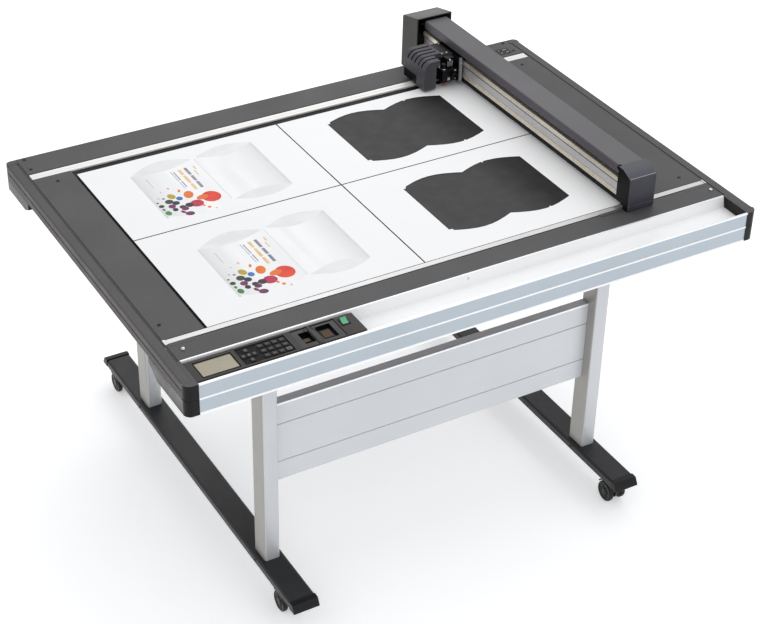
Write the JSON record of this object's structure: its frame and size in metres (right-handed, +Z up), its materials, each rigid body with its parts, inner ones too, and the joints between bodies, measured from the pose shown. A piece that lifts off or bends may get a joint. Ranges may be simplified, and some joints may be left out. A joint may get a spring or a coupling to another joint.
{
  "type": "flatbed cutting plotter",
  "caption": "Flatbed plotter that cuts sheet media: bed with front tray and control panel, travelling gantry with tool carriage, on a castored stand.",
  "frame": {"origin": "middle of the footprint box, on the floor", "axes": "+X to the operator's right along the gantry's travel, +Y towards the rear, +Z up"},
  "size_m": [1.336, 1.04, 0.84],
  "materials": {
    "satin_aluminium": "satin anodised",
    "grey_paint": "fine textured grey paint",
    "black_moulding": "semi-gloss black moulding",
    "bright_aluminium": "bright extruded",
    "bed_metal": "black anodised plate",
    "mat_rubber": "dark self-healing mat",
    "media_paper": "smooth coated sheet",
    "panel_plastic": "fine matt moulding",
    "display_glass": "clear window over an unlit display",
    "key_rubber": "moulded silicone",
    "port_gloss": "glossy",
    "steel_bright": "turned",
    "pan_metal": "folded sheet, matt",
    "belt_rubber": "toothed",
    "motor_black": "black case",
    "board_green": "circuit board",
    "inlet_plastic": "moulded",
    "stand_silver": "satin silver powder coat",
    "foot_black": "satin black powder coat",
    "rocker_green": "translucent green",
    "gantry_grey": "satin grey paint",
    "carriage_metal": "anodised",
    "carriage_plastic": "fine textured moulding",
    "holder_metal": "black anodised",
    "cutter_body": "red and black tool",
    "caster_nylon": "nylon",
    "caster_tread": "nylon"
  },
  "bodies": {
    "root": {"front_rail": "satin_aluminium", "side_rail_left": "grey_paint", "side_rail_right": "grey_paint", "back_rail": "grey_paint", "corner_cap_front_left": "black_moulding", "corner_cap_front_right": "black_moulding", "corner_cap_back_left": "black_moulding", "corner_cap_back_right": "black_moulding", "side_cover_left": "grey_paint", "side_cover_right": "grey_paint", "front_strip": "grey_paint", "back_cover": "grey_paint", "front_guide_rail": "bright_aluminium", "back_guide_rail": "bright_aluminium", "bed_plate": "bed_metal", "cutting_mat": "mat_rubber", "media_sheets": "media_paper", "control_panel": "panel_plastic", "display_window": "display_glass", "port_block": "port_gloss", "cover_fasteners": "steel_bright", "base_pan": "pan_metal", "x_belts": "belt_rubber", "x_motor": "motor_black", "main_board": "board_green", "power_inlet": "inlet_plastic", "leg_front_left": "stand_silver", "leg_front_right": "stand_silver", "leg_rear_left": "stand_silver", "leg_rear_right": "stand_silver", "foot_left": "foot_black", "foot_right": "foot_black", "foot_end_caps": "black_moulding", "modesty_slats": "stand_silver", "caster_stems": "steel_bright"},
    "keypad": {"keypad_keys": "key_rubber"},
    "rocker": {"power_rocker": "rocker_green"},
    "x_drive": {"x_drive_shaft": "steel_bright"},
    "x_idler": {"x_idler_shaft": "steel_bright"},
    "gantry": {"gantry_beam": "bright_aluminium", "gantry_cover": "gantry_grey", "gantry_cap_front": "black_moulding", "gantry_cap_back": "black_moulding", "y_motor": "motor_black", "y_belt": "belt_rubber"},
    "y_drive": {"y_drive_pulley": "steel_bright"},
    "y_idler": {"y_idler_pulley": "steel_bright"},
    "carriage": {"carriage_base": "carriage_metal", "carriage_cover": "carriage_plastic"},
    "tool": {"tool_holder": "holder_metal"},
    "clamp": {"clamp_screw": "steel_bright"},
    "cutter": {"cutter_pen": "cutter_body"},
    "swivel_front_left": {"caster_hood_front_left": "caster_nylon"},
    "wheels_front_left": {"caster_wheels_front_left": "caster_tread"},
    "swivel_front_right": {"caster_hood_front_right": "caster_nylon"},
    "wheels_front_right": {"caster_wheels_front_right": "caster_tread"},
    "swivel_rear_left": {"caster_hood_rear_left": "caster_nylon"},
    "wheels_rear_left": {"caster_wheels_rear_left": "caster_tread"},
    "swivel_rear_right": {"caster_hood_rear_right": "caster_nylon"},
    "wheels_rear_right": {"caster_wheels_rear_right": "caster_tread"}
  },
  "joints": [
    {"name": "gantry_travel", "type": "slide", "parent": "root", "child": "gantry", "axis": [1, 0, 0], "range_m": [-0.92, 0]},
    {"name": "carriage_travel", "type": "slide", "parent": "gantry", "child": "carriage", "axis": [0, 1, 0], "range_m": [-0.61, 0]},
    {"name": "tool_lift", "type": "slide", "parent": "carriage", "child": "tool", "axis": [0, 0, 1], "range_m": [-0.002, 0], "stiffness_N_per_m": 400, "springref_m": 0.006},
    {"name": "clamp_turn", "type": "hinge", "parent": "tool", "child": "clamp", "pos_m": [0.392, 0.27, 0.772], "axis": [0, -1, 0], "range_deg": [0, 270]},
    {"name": "cutter_pull", "type": "slide", "parent": "tool", "child": "cutter", "axis": [0, 0, 1], "range_m": [0, 0.04]},
    {"name": "power_rock", "type": "hinge", "parent": "root", "child": "rocker", "pos_m": [-0.308, -0.467, 0.735], "axis": [1, 0, 0], "range_deg": [-12, 0]},
    {"name": "keypad_press", "type": "slide", "parent": "root", "child": "keypad", "axis": [0, 0, 1], "range_m": [-0.0008, 0], "stiffness_N_per_m": 1200, "springref_m": 0.001},
    {"name": "x_drive_spin", "type": "hinge", "parent": "root", "child": "x_drive", "pos_m": [0.608, 0, 0.714], "axis": [0, 1, 0], "continuous": true},
    {"name": "x_idler_spin", "type": "hinge", "parent": "root", "child": "x_idler", "pos_m": [-0.608, 0, 0.714], "axis": [0, 1, 0], "continuous": true},
    {"name": "y_drive_spin", "type": "hinge", "parent": "gantry", "child": "y_drive", "pos_m": [0.426, 0.47, 0.813], "axis": [1, 0, 0], "continuous": true},
    {"name": "y_idler_spin", "type": "hinge", "parent": "gantry", "child": "y_idler", "pos_m": [0.426, -0.372, 0.813], "axis": [1, 0, 0], "continuous": true},
    {"name": "swivel_front_left_turn", "type": "hinge", "parent": "root", "child": "swivel_front_left", "pos_m": [-0.413, -0.436, 0.045], "axis": [0, 0, 1], "continuous": true},
    {"name": "wheels_front_left_roll", "type": "hinge", "parent": "swivel_front_left", "child": "wheels_front_left", "pos_m": [-0.413, -0.418, 0.025], "axis": [1, 0, 0], "continuous": true},
    {"name": "swivel_front_right_turn", "type": "hinge", "parent": "root", "child": "swivel_front_right", "pos_m": [0.413, -0.436, 0.045], "axis": [0, 0, 1], "continuous": true},
    {"name": "wheels_front_right_roll", "type": "hinge", "parent": "swivel_front_right", "child": "wheels_front_right", "pos_m": [0.413, -0.454, 0.025], "axis": [1, 0, 0], "continuous": true},
    {"name": "swivel_rear_left_turn", "type": "hinge", "parent": "root", "child": "swivel_rear_left", "pos_m": [-0.413, 0.454, 0.045], "axis": [0, 0, 1], "continuous": true},
    {"name": "wheels_rear_left_roll", "type": "hinge", "parent": "swivel_rear_left", "child": "wheels_rear_left", "pos_m": [-0.413, 0.472, 0.025], "axis": [1, 0, 0], "continuous": true},
    {"name": "swivel_rear_right_turn", "type": "hinge", "parent": "root", "child": "swivel_rear_right", "pos_m": [0.413, 0.454, 0.045], "axis": [0, 0, 1], "continuous": true},
    {"name": "wheels_rear_right_roll", "type": "hinge", "parent": "swivel_rear_right", "child": "wheels_rear_right", "pos_m": [0.413, 0.472, 0.025], "axis": [1, 0, 0], "continuous": true}
  ],
  "couplings": [
    {"joint": "x_drive_spin", "follows": "gantry_travel", "rad_per_m": 76.336},
    {"joint": "x_idler_spin", "follows": "gantry_travel", "rad_per_m": 76.336},
    {"joint": "y_drive_spin", "follows": "carriage_travel", "rad_per_m": 140.85},
    {"joint": "y_idler_spin", "follows": "carriage_travel", "rad_per_m": 140.85}
  ]
}
